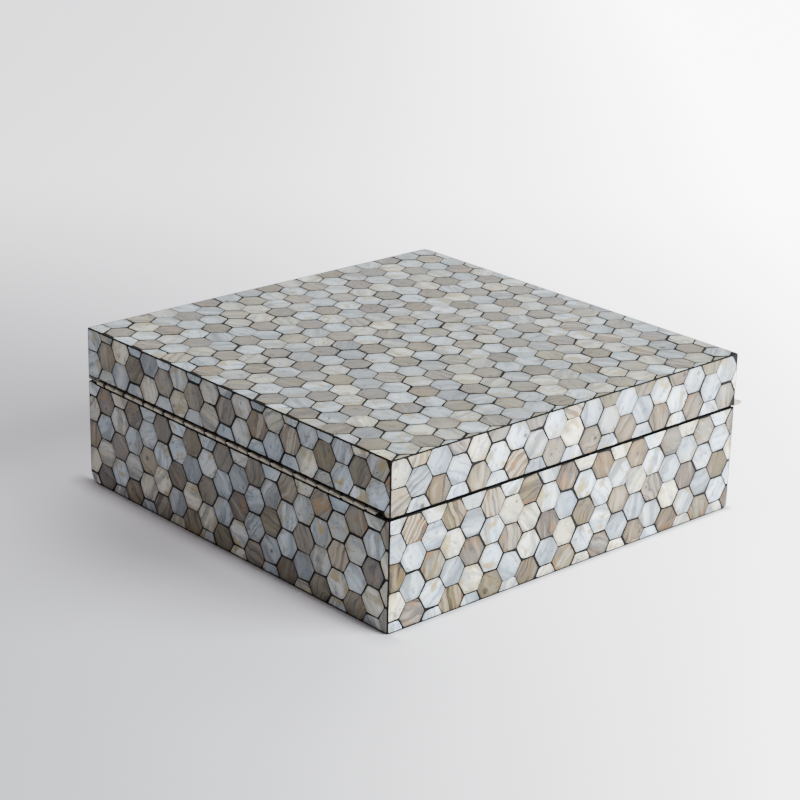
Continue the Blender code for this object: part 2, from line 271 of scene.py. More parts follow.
def shell_material():
    """Polished shell: each tile has its own tone, streaks, bands and knots, held by its vertices, and painted light and
    shade by the side of the box it lies on.
    """
    shader = Shader("shell_mosaic")
    grain = shader.add("ShaderNodeAttribute", {"attribute_name": "grain"}).outputs["Vector"]
    tone = shader.add("ShaderNodeAttribute", {"attribute_name": "tone"}).outputs["Vector"]
    knot = shader.add("ShaderNodeAttribute", {"attribute_name": "knot"}).outputs["Vector"]
    kind, hue, band = shader.add("ShaderNodeSeparateXYZ", None, i0=tone).outputs
    knot_x, knot_y, knot_power = shader.add("ShaderNodeSeparateXYZ", None, i0=knot).outputs
    along, across, seed = shader.add("ShaderNodeSeparateXYZ", None, i0=grain).outputs
    painted_light_side = shader.add("ShaderNodeAttribute", {"attribute_name": "painted_light_side"}).outputs["Fac"]
    own = shader.add("ShaderNodeTexWhiteNoise", {"noise_dimensions": "1D"}, W=seed).outputs["Color"]
    luck, chance, fate = shader.add("ShaderNodeSeparateXYZ", None, i0=own).outputs
    reach = shader.math("SQRT", shader.math("ADD", shader.math("POWER", along, 2.0), shader.math("POWER", across, 2.0)))

    # The growth lines wander, so every streak is read at a place pushed sideways
    wander = shader.noise(shader.stretch(grain, (80.0, 95.0, 1.0)), 1.0, 1.5, 0.5)
    push = shader.math("SUBTRACT", wander, 0.5)
    bent = shader.math("ADD", across, shader.math("MULTIPLY", push, 0.0075))
    far = shader.math("ADD", shader.math("POWER", knot_x, 2.0), shader.math("POWER", knot_y, 2.0))
    ring = shader.math("ADD", shader.math("SQRT", far), shader.math("MULTIPLY", push, 0.0045))
    flow = shader.add("ShaderNodeMix", {"data_type": "FLOAT"})
    shader.feed(flow, 0, shader.math("MULTIPLY", knot_power, shader.ease(ring, 0.003, 0.010, 1.0, 0.0)))
    shader.feed(flow, 2, bent)
    shader.feed(flow, 3, ring)
    lines = shader.add("ShaderNodeCombineXYZ", None, i0=along, i1=flow.outputs[0], i2=seed).outputs[0]

    broad = shader.noise(shader.stretch(lines, (22.0, 120.0, 1.0)), 1.0, 0.6, 0.5)
    streak = shader.noise(shader.stretch(lines, (34.0, 260.0, 1.7)), 1.0, 1.0, 0.45)
    fine = shader.noise(shader.stretch(lines, (70.0, 1100.0, 1.3)), 1.0, 1.5, 0.55)
    cloud = shader.noise(shader.stretch(grain, (150.0, 190.0, 2.1)), 1.0, 2.0, 0.5, 0.4)
    patch = shader.noise(shader.stretch(grain, (85.0, 95.0, 3.7)), 1.0, 1.5, 0.5, 0.3)
    speck = shader.noise(shader.stretch(grain, (800.0, 950.0, 5.0)), 1.0, 1.0, 0.5)
    lean = shader.math("ADD", shader.math("MULTIPLY", across, 46.0), shader.math("MULTIPLY", push, 1.6))

    # Pale tiles: blue white to ivory, some greyer, each fading to a second tint
    pale = shader.mix(shader.ease(hue, 0.45, 0.85), (0.600, 0.720, 0.830), (0.840, 0.790, 0.600))
    pale = shader.mix(shader.ease(luck, 0.55, 1.00, 0.0, 0.85), pale, (0.300, 0.340, 0.370))
    tint = shader.mix(shader.ease(chance, 0.40, 0.60), (0.230, 0.300, 0.400), (0.380, 0.310, 0.150))
    fade = shader.math("MULTIPLY", shader.ease(lean, -0.10, 0.65), shader.ease(fate, 0.10, 0.90, 0.10, 0.80))
    pale = shader.mix(fade, pale, tint)
    pale = shader.mix(shader.ease(broad, 0.50, 0.70, 0.0, 0.65), pale, (0.880, 0.910, 0.930))
    pale = shader.mix(shader.ease(broad, 0.48, 0.30, 0.0, 0.70), pale, (0.230, 0.260, 0.290))
    pale = shader.mix(shader.ease(streak, 0.46, 0.30, 0.0, 0.40), pale, (0.200, 0.220, 0.245))
    olive_share = shader.math("MULTIPLY", shader.ease(patch, 0.52, 0.68), shader.ease(chance, 0.20, 0.75, 0.0, 0.85))
    pale = shader.mix(olive_share, pale, (0.370, 0.290, 0.110))
    pale = shader.mix(shader.ease(cloud, 0.55, 0.73, 0.0, 0.70), pale, (0.200, 0.225, 0.290))
    # Painted shade: each pale tile darkens towards its edge, as a slightly domed tile would be shaded
    pale = shader.mix(shader.ease(reach, 0.0060, 0.0118, 0.0, 0.50), pale, (0.250, 0.240, 0.215))

    # Darker tiles: tan, olive and mauve brown, fading to a paler or a rustier side
    deep = shader.mix(shader.ease(hue, 0.25, 0.75), (0.215, 0.153, 0.070), (0.165, 0.136, 0.054))
    deep = shader.mix(shader.ease(luck, 0.50, 0.80, 0.0, 0.90), deep, (0.122, 0.096, 0.086))
    deep = shader.mix(shader.ease(fate, 0.55, 0.95, 0.0, 0.65), deep, (0.280, 0.235, 0.150))
    side = shader.mix(shader.ease(chance, 0.40, 0.60), (0.290, 0.270, 0.205), (0.066, 0.046, 0.029))
    deep = shader.mix(shader.ease(lean, -0.05, 0.60, 0.0, 0.80), deep, side)
    deep = shader.mix(shader.ease(streak, 0.53, 0.70, 0.0, 0.60), deep, (0.370, 0.325, 0.240))
    deep = shader.mix(shader.ease(streak, 0.47, 0.30, 0.0, 0.75), deep, (0.050, 0.033, 0.021))
    rust = shader.math("MULTIPLY", shader.ease(patch, 0.56, 0.70), shader.ease(luck, 0.30, 0.70, 0.0, 0.70))
    deep = shader.mix(rust, deep, (0.285, 0.145, 0.050))
    deep = shader.mix(shader.ease(cloud, 0.58, 0.74, 0.0, 0.50), deep, (0.170, 0.180, 0.205))
    # Painted shade: each dark tile darkens towards its edge, as a slightly domed tile would be shaded
    deep = shader.mix(shader.ease(reach, 0.0060, 0.0118, 0.0, 0.45), deep, (0.075, 0.048, 0.030))

    # A few tiles are strongly banded, and knots have a dark heart
    bands = shader.noise(shader.stretch(lines, (6.0, 300.0, 0.7)), 1.0, 0.5, 0.4)
    banding = shader.math("MULTIPLY", band, shader.ease(bands, 0.48, 0.56))
    pale = shader.mix(shader.math("MULTIPLY", banding, 0.65), pale, (0.130, 0.145, 0.150))
    deep = shader.mix(shader.math("MULTIPLY", banding, 0.85), deep, (0.480, 0.410, 0.310))
    colour = shader.mix(kind, pale, deep)
    heart = shader.math("MULTIPLY", shader.ease(ring, 0.0006, 0.0026, 1.0, 0.0), shader.ease(knot_power, 0.35, 0.50))
    colour = shader.mix(shader.math("MULTIPLY", heart, 0.80), colour, (0.060, 0.038, 0.022))

    # Some tiles keep the shell's brown skin along one side
    skin = shader.ease(shader.math("ADD", reach, shader.math("MULTIPLY", push, 0.006)), 0.0085, 0.0112)
    skin = shader.math("MULTIPLY", skin, shader.ease(lean, 0.0, 0.5))
    skin = shader.math("MULTIPLY", skin, shader.ease(hue, 0.50, 0.65, 0.0, 0.80))
    skin = shader.math("MULTIPLY", skin, shader.ease(kind, 0.0, 0.6, 0.50, 1.0))
    colour = shader.mix(skin, colour, shader.mix(kind, (0.460, 0.330, 0.140), (0.215, 0.105, 0.038)))

    shade = shader.math("ADD", shader.ease(fine, 0.30, 0.70, -0.06, 0.06), shader.ease(speck, 0.30, 0.70, -0.03, 0.03))
    whole = shader.math("ADD", shade, shader.ease(chance, 0.0, 1.0, 0.64, 1.14))
    # Painted light: tiles on the side facing the window are brighter and more contrasty; painted shade: tiles on the
    # back are darker
    whole = shader.math("MULTIPLY", whole, shader.ease(painted_light_side, 0.0, 1.0, 1.0, 1.20))
    whole = shader.math("MULTIPLY", whole, shader.ease(painted_light_side, -1.0, 0.0, BACK_PAINTED_SHADE, 1.0))
    colour = shader.add("ShaderNodeGamma", None, Color=colour, Gamma=shader.ease(painted_light_side, 0.0, 1.0, 1.0, 1.4)).outputs[0]
    bright = shader.add("ShaderNodeHueSaturation", None, Color=colour, Value=whole)
    pit = shader.ease(shader.noise(shader.stretch(grain, (300.0, 360.0, 8.0)), 1.0, 1.0, 0.5), 0.70, 0.76)
    finished = shader.mix(shader.math("MULTIPLY", pit, 0.75), bright.outputs[0], (0.060, 0.042, 0.028))

    rough = shader.math("ADD", shader.ease(streak, 0.30, 0.70, 0.26, 0.38), shader.math("MULTIPLY", pit, 0.25))
    # The side with painted light also has a lower specular level
    gloss = shader.ease(painted_light_side, 0.0, 1.0, 0.45, 0.25)
    shader.set(Base_Color=finished, Roughness=rough, IOR=1.50, Specular_IOR_Level=gloss)
    height = shader.math("SUBTRACT", shader.math("ADD", cloud, shader.math("MULTIPLY", fine, 0.10)), pit)
    shader.bump(height, 0.00005)
    return shader.material


def object_place(shader):
    return shader.add("ShaderNodeTexCoord").outputs["Object"]


def resin_material():
    """The black resin between the tiles, rubbed a little grey."""
    shader = Shader("black_resin")
    place = object_place(shader)
    rub = shader.noise(place, 420.0, 3.0, 0.6)
    colour = shader.mix(shader.ease(rub, 0.45, 0.75, 0.0, 0.7), (0.005, 0.005, 0.005), (0.016, 0.013, 0.011))
    rough = shader.ease(rub, 0.3, 0.7, 0.45, 0.7)
    shader.set(Base_Color=colour, Roughness=rough, IOR=1.5, Specular_IOR_Level=0.07)
    shader.bump(rub, 0.00003)
    return shader.material


def lacquer_material():
    """Satin black lacquer on board, with a faint ripple and dust."""
    shader = Shader("black_lacquer")
    place = object_place(shader)
    ripple = shader.noise(place, 160.0, 2.0, 0.5)
    cloud = shader.noise(place, 14.0, 3.0, 0.6)
    dust = shader.noise(place, 2600.0, 1.0, 0.5)
    colour = shader.mix(shader.ease(cloud, 0.35, 0.70), (0.012, 0.011, 0.010), (0.020, 0.018, 0.016))
    colour = shader.mix(shader.ease(dust, 0.74, 0.80, 0.0, 0.35), colour, (0.10, 0.095, 0.09))
    shader.set(Base_Color=colour, Roughness=shader.ease(cloud, 0.3, 0.7, 0.28, 0.40), IOR=1.5)
    shader.bump(ripple, 0.00004)
    return shader.material


def metal_material(name, pale, dull, metallic, rough_low, rough_high):
    """Brushed metal, a little tarnished."""
    shader = Shader(name)
    place = object_place(shader)
    brush = shader.noise(shader.stretch(place, (120.0, 4200.0, 4200.0)), 1.0, 2.0, 0.6)
    tarnish = shader.noise(place, 90.0, 3.0, 0.6, 0.4)
    share = shader.ease(tarnish, 0.45, 0.75, 0.0, 0.75)
    colour = shader.mix(share, pale, dull)
    rough = shader.math("ADD", shader.ease(brush, 0.3, 0.7, rough_low, rough_high), shader.math("MULTIPLY", share, 0.15))
    shader.set(Base_Color=colour, Metallic=metallic, Roughness=rough)
    shader.bump(brush, 0.00002)
    return shader.material


def bone_material():
    """Polished cream bone, with faint fibres and olive clouds."""
    shader = Shader("bone")
    place = object_place(shader)
    fibre = shader.noise(shader.stretch(place, (1500.0, 160.0, 1100.0)), 1.0, 3.0, 0.6)
    cloud = shader.noise(place, 170.0, 2.0, 0.5)
    colour = shader.mix(shader.ease(cloud, 0.35, 0.70), (0.260, 0.220, 0.155), (0.205, 0.180, 0.115))
    colour = shader.mix(shader.ease(fibre, 0.50, 0.75, 0.0, 0.5), colour, (0.150, 0.120, 0.080))
    shader.set(Base_Color=colour, Roughness=shader.ease(fibre, 0.3, 0.7, 0.25, 0.4), IOR=1.54, Subsurface_Weight=0.08)
    shader.bump(fibre, 0.00003)
    return shader.material


shell = shell_material()
resin = resin_material()
lacquer = lacquer_material()
hinge_metal = metal_material("hinge_metal", (0.39, 0.365, 0.30), (0.21, 0.19, 0.145), 0.7, 0.42, 0.56)
screw_metal = metal_material("screw_metal", (0.60, 0.57, 0.52), (0.30, 0.26, 0.21), 1.0, 0.24, 0.36)
# Painted shade: the knuckles' end faces are nearly black, for the shade in the joints between the knuckles
knuckle_end_painted_shade = metal_material("knuckle_end_painted_shade", (0.060, 0.048, 0.036), (0.030, 0.023, 0.017), 0.5, 0.55, 0.70)
bone = bone_material()


# The mosaic

class Face:
    """One flat side of the box: its plane, its size and what its edges meet."""

    def __init__(self, corner, across, up, size, edges, recess=0.0, recess_high=False, painted_light_side=0.0):
        self.painted_light_side = painted_light_side
        self.corner = Vector(corner)
        self.across = Vector(across)
        self.up = Vector(up)
        self.normal = self.across.cross(self.up)
        self.width, self.height = size
        self.edges = edges
        self.recess = recess
        self.recess_high = recess_high

    def world(self, along, rise, depth):
        return self.corner + self.across * along + self.up * rise - self.normal * depth

    def along(self, place):
        return (Vector(place) - self.corner).dot(self.across)

    def rise(self, place):
        return (Vector(place) - self.corner).dot(self.up)


def clipped(points, axis, limit, keep_above):
    """The part of a convex outline on one side of a line along an axis."""
    kept = []
    sign = 1.0 if keep_above else -1.0
    for index, point in enumerate(points):
        before = points[index - 1]
        inside = sign * (point[axis] - limit) >= 0
        was_inside = sign * (before[axis] - limit) >= 0
        if inside != was_inside:
            share = (limit - before[axis]) / (point[axis] - before[axis])
            kept.append(before.lerp(point, share))
        if inside:
            kept.append(point)
    return kept


def area_of(points):
    pairs = zip(points, points[1:] + points[:1])
    return sum(first.x * second.y - second.x * first.y for first, second in pairs) / 2


def centre_of(points):
    return sum(points, Vector((0, 0))) / len(points)


def worn_outline(points, chance):
    """Rounds each corner by its own amount, and lets the edges between them waver."""
    made = []
    count = len(points)
    for index, corner in enumerate(points):
        before = points[index - 1]
        after = points[(index + 1) % count]
        reach = chance.uniform(0.0006, 0.0015)
        if chance.random() < 0.12:
            reach = chance.uniform(0.0017, 0.0028)
        back = min(reach, (before - corner).length * 0.40)
        ahead = min(reach * chance.uniform(0.8, 1.25), (after - corner).length * 0.40)
        start = corner + (before - corner).normalized() * back
        stop = corner + (after - corner).normalized() * ahead
        for step in (0.0, 0.35, 0.65, 1.0):
            made.append(start * (1 - step) ** 2 + corner * 2 * step * (1 - step) + stop * step**2)
        length = (after - stop).length
        if length > 0.004:
            outward = Vector(((after - stop).y, -(after - stop).x)).normalized()
            for share in (0.30, 0.62):
                waver = outward * chance.uniform(-0.00013, 0.00007)
                made.append(stop.lerp(after, share) + waver)
    return made


def stepped(points, longest):
    """The same outline with no step longer than a length."""
    made = []
    for index, point in enumerate(points):
        after = points[(index + 1) % len(points)]
        steps = max(1, math.ceil((after - point).length / longest))
        made.extend(point.lerp(after, step / steps) for step in range(steps))
    return made


def relief_at(x, amount):
    """How far a back rim is cut away for the hinge at a place along the box."""
    near_end = smooth((x - (leaf_low.x - 0.0068)) / 0.0024)
    far_end = smooth((leaf_high.x + 0.0056 - x) / 0.0056)
    return amount * near_end * far_end


def add_tile(shape, layers, face, outline, middle, dark, grain_way, chance):
    """One shell tile: a thin closed prism with a worn upper edge, tilted by a hair."""
    tilt = Vector((chance.uniform(-1, 1), chance.uniform(-1, 1))) * TILE_TILT
    reach = ROW_PITCH / 2
    turn = grain_way + chance.choice((0.0, 0.0, 0.0, 0.0, 60.0, -60.0)) + chance.gauss(0.0, 26.0)
    turn += chance.choice((0.0, 180.0))
    streak = Vector((math.cos(math.radians(turn)), math.sin(math.radians(turn))))
    seed = chance.uniform(0.0, 90.0)
    hue = chance.random()
    strength = chance.random()
    kind = chance.uniform(0.78, 1.0) if dark else chance.choice((0.0, 0.0, 0.0, 0.10, 0.22)) * chance.random()
    band = chance.uniform(0.5, 1.0) if chance.random() < (0.22 if dark else 0.08) else 0.0
    knotted = chance.random() < (0.30 if dark else 0.12)
    knot_at = middle + Vector((chance.uniform(-1, 1), chance.uniform(-1, 1))) * reach * 0.7
    knot_power = strength if knotted else 0.0

    def point(place, depth):
        vertex = shape.verts.new(face.world(place.x, place.y, depth))
        local = place - middle
        vertex[layers["grain"]] = (local.dot(streak), local.x * -streak.y + local.y * streak.x, seed)
        vertex[layers["tone"]] = (kind, hue, band)
        vertex[layers["knot"]] = (place.x - knot_at.x, place.y - knot_at.y, knot_power)
        vertex[layers["painted_light_side"]] = face.painted_light_side
        return vertex

    def surface(place):
        return TILE_DEPTH + (place - middle).dot(tilt) / reach

    def inward(place):
        away = place - middle
        return middle + away * max(0.2, 1 - TILE_EDGE_WIDTH / max(away.length, 1e-6))

    foot = [point(place, TILE_FOOT) for place in outline]
    rim = [point(place, surface(place) + TILE_EDGE_DROP) for place in outline]
    crown = [point(inward(place), surface(inward(place))) for place in outline]
    faces = [shape.faces.new(crown), shape.faces.new(foot[::-1])]
    count = len(outline)
    for low, high in ((foot, rim), (rim, crown)):
        for index in range(count):
            after = (index + 1) % count
            faces.append(shape.faces.new((low[index], low[after], high[after], high[index])))
    return faces


def recess_cut(face, along):
    """How far the hinge's recess cuts into a face's recessed edge at a place along it."""
    return relief_at(face.world(along, 0, 0).x, face.recess)


def recess_breaks(face):
    """Places along a recessed edge where its line bends, near both ends of the hinge."""
    near_end = [leaf_low.x - 0.0040 - 0.0032 * step / 12 for step in range(13)]
    far_end = [leaf_high.x + 0.0060 * (1 - step / 16) for step in range(17)]
    places = [face.along((x, 0, 0)) for x in near_end + far_end]
    return sorted(place for place in places if 0 < place < face.width)


def add_bed(shape, face):
    """The slab of resin behind the tiles, mitred where it meets another face."""
    mitre = ((0.00050, BED_DEPTH), (EDGE_ROUND, EDGE_ROUND * 1.4), (SKIN_DEPTH, SKIN_DEPTH))
    rim = ((0.00030, BED_DEPTH), (0.0, 0.00045), (0.0, SKIN_DEPTH))
    breaks = recess_breaks(face) if face.recess else []
    cut_low = face.recess and not face.recess_high
    cut_high = face.recess and face.recess_high
    rings = []
    for level in range(3):
        low, right, high, left = [mitre[level] if edge in MITRED else rim[level] for edge in face.edges]
        depth = max(low[1], right[1], high[1], left[1]) if level else BED_DEPTH
        places = [left[0], *breaks, face.width - right[0]]
        bottom = [(place, low[0] + (recess_cut(face, place) if cut_low else 0)) for place in places]
        top = [(place, face.height - high[0] - (recess_cut(face, place) if cut_high else 0)) for place in places]
        ring = bottom + top[::-1]
        rings.append([shape.verts.new(face.world(along, rise, depth)) for along, rise in ring])
    made = [shape.faces.new(rings[0]), shape.faces.new(rings[2][::-1])]
    count = len(rings[0])
    for outer, inner in ((rings[0], rings[1]), (rings[1], rings[2])):
        for index in range(count):
            after = (index + 1) % count
            made.append(shape.faces.new((inner[index], inner[after], outer[after], outer[index])))
    for polygon in made:
        polygon.material_index = 1


def corner_list():
    """Each rounded corner of the box: its place, its size and the way inward from it."""
    made = []
    for (side_x, side_y, end), size in CORNER_SIZES.items():
        height = base_low.z if end == "foot" else lid_high.z
        inward = Vector((-side_x, -side_y, 1 if end == "foot" else -1))
        made.append((Vector((side_x * cad_high.x, side_y * base_high.y, height)), size, inward))
    return made


CORNERS = corner_list()


def corner_reach(point, corner, inward):
    """A point's distances from a corner along the three edges."""
    return Vector((point[axis] - corner[axis]) * inward[axis] for axis in range(3))


def rounded(point, depth):
    """Keeps a point of the skin within the ball that rounds its corner and touches the corner's three edges."""
    for corner, size, inward in CORNERS:
        if max(corner_reach(point, corner, inward)) < size:
            centre = corner + inward * size
            away = point - centre
            radius = size * math.sqrt(2) - depth
            if away.length > radius:
                return centre + away.normalized() * radius
    return point


def cut_for_corners(shape, face):
    """Adds lines across the faces near each rounded corner, so that they can bend."""
    for corner, size, inward in CORNERS:
        if abs((corner - face.corner).dot(face.normal)) > 1e-4:
            continue

        def is_near(polygon):
            reaches = [corner_reach(vertex.co, corner, inward) for vertex in polygon.verts]
            return all(min(reach[axis] for reach in reaches) < size for axis in range(3))

        polygons = [polygon for polygon in shape.faces if is_near(polygon)]
        parts = {*polygons}
        for polygon in polygons:
            parts.update(polygon.verts)
            parts.update(polygon.edges)
        parts = list(parts)
        for axis in (face.across, face.up):
            for step in range(1, CORNER_STEPS + 1):
                place = corner + inward * (size * step / CORNER_STEPS)
                made = bmesh.ops.bisect_plane(shape, geom=parts, plane_co=place, plane_no=axis, dist=1e-6)
                parts = made["geom"]


def trimmed(outline, face):
    """A tile's outline cut off at the face's edges, but for the hinge's recess."""
    low, right, high, left = [EDGE_MARGINS[edge] for edge in face.edges]
    for axis, limit, keep_above in ((0, left, True), (0, face.width - right, False),
                                    (1, low, True), (1, face.height - high, False)):
        outline = clipped(outline, axis, limit, keep_above) if outline else outline
    return outline


def recessed(outline, face, middle_cut):
    """A tile's outline kept clear of the hinge's recess, with a straight cut along the hinge's length."""
    limit = face.recess + RECESS_MARGIN
    if middle_cut > face.recess * 0.98:
        place = face.height - limit if face.recess_high else limit
        return clipped(outline, 1, place, not face.recess_high)
    distances = [face.height - p.y if face.recess_high else p.y for p in outline]
    if min(distances) > limit:
        return outline
    kept = []
    for point in stepped(outline, 0.0008):
        away = face.height - point.y if face.recess_high else point.y
        away = max(away, recess_cut(face, point.x) + RECESS_MARGIN)
        kept.append(Vector((point.x, face.height - away if face.recess_high else away)))
    return kept


def build_mosaic(name, node, body, face, dark_at, seed, grain_way, slope=0.0):
    """One face of the box: its bed and every tile of the pattern, cut to the face."""
    chance = random.Random(seed)
    shape = bmesh.new()
    layers = {key: shape.verts.layers.float_vector.new(key) for key in ("grain", "tone", "knot")}
    layers["painted_light_side"] = shape.verts.layers.float.new("painted_light_side")
    layers.update({key: shape.verts.layers.float_vector[key] for key in ("grain", "tone", "knot")})
    add_bed(shape, face)

    start_along = face.along(dark_at)
    start_rise = face.rise(dark_at)
    radius = (ROW_PITCH - GROUT) / math.sqrt(3)
    whole = 1.5 * math.sqrt(3) * radius**2
    first = math.floor(-start_along / COLUMN_PITCH) - 1
    last = math.ceil((face.width - start_along) / COLUMN_PITCH) + 1
    for column in range(first, last + 1):
        along = start_along + column * COLUMN_PITCH
        drift = chance.gauss(0.0, 0.00015)
        low_row = math.floor(-start_rise / HALF_ROW) - 2
        high_row = math.ceil((face.height - start_rise) / HALF_ROW) + 2
        for row in range(low_row, high_row + 1):
            if (row + column) % 2:
                continue
            skew = slope * (along - face.width / 2)
            middle = Vector((along + drift, start_rise + row * HALF_ROW + skew))
            middle += Vector((chance.gauss(0, TILE_SHIFT), chance.gauss(0, TILE_SHIFT)))
            size = radius + chance.gauss(0, GROUT_SPREAD) / 2
            turn = chance.gauss(0, TILE_TURN)
            outline = []
            for corner in range(6):
                angle = turn + corner * math.pi / 3
                shift = Vector((chance.gauss(0, CORNER_SHIFT), chance.gauss(0, CORNER_SHIFT)))
                outline.append(middle + Vector((math.cos(angle), math.sin(angle))) * size + shift)
            own = random.Random(chance.random())
            cut = recess_cut(face, along) if face.recess else 0.0
            outline = trimmed(outline, face)
            if face.recess and outline and cut > face.recess * 0.98:
                outline = recessed(outline, face, cut)
            if len(outline) < 3 or area_of(outline) < whole * SMALLEST_SHARE:
                continue
            outline = worn_outline(outline, own)
            if face.recess and cut <= face.recess * 0.98:
                outline = recessed(outline, face, cut)
            dark = row % DARK_EVERY == 0
            add_tile(shape, layers, face, outline, centre_of(outline), dark, grain_way, own)
    cut_for_corners(shape, face)
    for vertex in shape.verts:
        vertex.co = rounded(vertex.co, (face.corner - vertex.co).dot(face.normal))
    return finish_piece(name, shape, (shell, resin), body, (node,))


X = cad_high.x
Y = base_high.y
WIDTH = base_high.x - base_low.x
DEPTH = base_high.y - base_low.y
BASE_RISE = base_high.z - base_low.z
LID_RISE = lid_high.z - lid_low.z
BASE_EDGES = ("foot", "mitre", "rim", "mitre")
LID_EDGES = ("rim", "mitre", "mitre", "mitre")
LID_LEFT_EDGES = ("rim", "mitre", "thin", "mitre")
TOP_EDGES = ("mitre", "mitre", "mitre", "thin")


def wall_face(side, low_z, rise, edges, recess=0.0, recess_high=False):
    """The plane of one wall of the base or the lid, seen from outside."""
    starts = {"left": (-X, Y), "right": (X, -Y), "front": (-X, -Y), "back": (X, Y)}
    ways = {"left": (0, -1, 0), "right": (0, 1, 0), "front": (1, 0, 0), "back": (-1, 0, 0)}
    width = DEPTH if side in ("left", "right") else WIDTH
    painted_light_side = SIDE_PAINTED_LIGHT.get(side, 0.0)
    return Face((*starts[side], low_z), ways[side], (0, 0, 1), (width, rise), edges, recess, recess_high, painted_light_side)


def build_all_mosaic():
    # One dark tile of each face fixes its pattern
    base_dark = {"left": (-X, 0.1528, 0.0724), "right": (X, 0.1610, 0.0724),
                 "front": (-0.1560, -Y, 0.0724), "back": (0.1528, Y, 0.0724)}
    lid_dark = {"left": (-X, 0.1680, 0.0950), "right": (X, 0.1540, 0.1090),
                "front": (-0.1660, -Y, 0.1020), "back": (0.1500, Y, 0.1090)}
    for index, side in enumerate(SIDES):
        recess = BASE_RECESS if side == "back" else 0.0
        face = wall_face(side, base_low.z, BASE_RISE, BASE_EDGES, recess, True)
        build_mosaic(f"base_tiles_{side}", f"base_mosaic_{side}", "base", face, base_dark[side], 11 + index, WALL_GRAIN)
        recess = LID_RECESS if side == "back" else 0.0
        edges = LID_LEFT_EDGES if side == "left" else LID_EDGES
        face = wall_face(side, lid_low.z, LID_RISE, edges, recess)
        build_mosaic(f"lid_tiles_{side}", f"lid_mosaic_{side}", "lid", face, lid_dark[side], 31 + index, WALL_GRAIN)
    top = Face((-X, -Y, lid_high.z), (1, 0, 0), (0, 1, 0), (WIDTH, DEPTH), TOP_EDGES)
    build_mosaic("lid_tiles_top", "lid_mosaic_top", "lid", top, (0.1496, -0.1552, lid_high.z), 51, TOP_GRAIN, TOP_SLOPE)


build_all_mosaic()


# The boards

def block(low, high, fillet=0.0, segments=3):
    """A bmesh block between two corners, with its edges rounded by a fillet."""
    shape = bmesh.new()
    made = bmesh.ops.create_cube(shape, size=1.0)["verts"]
    low, high = Vector(low), Vector(high)
    bmesh.ops.scale(shape, vec=high - low, verts=made)
    bmesh.ops.translate(shape, vec=(low + high) / 2, verts=made)
    if fillet:
        bmesh.ops.bevel(shape, geom=shape.edges[:], offset=fillet, segments=segments, profile=0.5, affect="EDGES")
    return shape


def temporary(name, shape):
    mesh = bpy.data.meshes.new(name)
    shape.to_mesh(mesh)
    shape.free()
    return link(bpy.data.objects.new(name, mesh))


def carve(name, solid, cutters, bevel):
    """Cuts a solid by others, breaks its sharp edges, and returns the result as a bmesh."""
    target = temporary(name + "_solid", solid)
    tools = [temporary(f"{name}_cut_{index}", cutter) for index, cutter in enumerate(cutters)]
    for tool in tools:
        cut = target.modifiers.new("cut", "BOOLEAN")
        cut.operation = "DIFFERENCE"
        cut.solver = "EXACT"
        cut.object = tool
    edge = target.modifiers.new("edge", "BEVEL")
    edge.width = bevel
    edge.segments = 2
    edge.limit_method = "ANGLE"
    edge.angle_limit = math.radians(50)
    bpy.context.view_layer.update()
    evaluated = target.evaluated_get(bpy.context.evaluated_depsgraph_get())
    result = bmesh.new()
    result.from_mesh(evaluated.to_mesh())
    evaluated.to_mesh_clear()
    for thing in [target, *tools]:
        bpy.data.objects.remove(thing, do_unlink=True)
    return result


def build_carcass(name, body, nodes, low, high, cavity_low, cavity_high, rebate_low, rebate_high):
    """A hollow half of the box in black lacquer, with the hinge's rebate in its back rim."""
    cavity = block(cavity_low, cavity_high, 0.0012)
    rebate = block(rebate_low, rebate_high)
    shape = carve(name, block(low, high), (cavity, rebate), 0.00035)
    return finish_piece(name, shape, (lacquer,), body, nodes)


def build_boards():
    reach = 0.004
    rim_half = (lid_low.z - base_high.z) / 2
    names = [f"wall_{side}" for side in SIDES]
    low, high = span(*[f"base_{name}" for name in names])
    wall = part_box("base_wall_left")
    thick = wall[1].x - wall[0].x
    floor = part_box("base_floor")[1].z
    rebate_x = (leaf_low.x - 0.005, leaf_high.x + 0.005)
    base_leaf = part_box("hinge_leaf_base")
    lid_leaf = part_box("hinge_leaf_lid")
    build_carcass("base_carcass", "base", ["base_floor", *[f"base_{name}" for name in names]], low, high,
                  (low.x + thick, low.y + thick, floor), (high.x - thick, high.y - thick, high.z + reach),
                  (rebate_x[0], high.y - thick - reach, base_leaf[0].z - 0.0003),
                  (rebate_x[1], high.y + reach, high.z + rim_half))
    low, high = span("lid_top", *[f"lid_{name}" for name in names])
    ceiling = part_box("lid_top")[0].z
    build_carcass("lid_carcass", "lid", ["lid_top", *[f"lid_{name}" for name in names]], low, high,
                  (low.x + thick, low.y + thick, low.z - reach), (high.x - thick, high.y - thick, ceiling),
                  (rebate_x[0], high.y - thick - reach, low.z - rim_half),
                  (rebate_x[1], high.y + reach, lid_leaf[1].z + 0.0003))


build_boards()


# The hinge

def roll_outline(side, radius, inner, tail, floor):
    """A leaf's curl across the hinge, about the axis, with a short tail of its plate; side is 1 for the lid's."""
    sweep = 1.5 * math.pi + math.asin(min(1.0, floor / radius))
    angles = [-math.pi / 2 + sweep * step / ROLL_STEPS for step in range(ROLL_STEPS + 1)]
    points = [(-tail, -radius)]
    points += [(radius * math.cos(angle), radius * math.sin(angle)) for angle in angles]
    points += [(inner * math.cos(angle), inner * math.sin(angle)) for angle in reversed(angles)]
    points.append((-tail, -inner))
    return [(along, -side * rise) for along, rise in points]


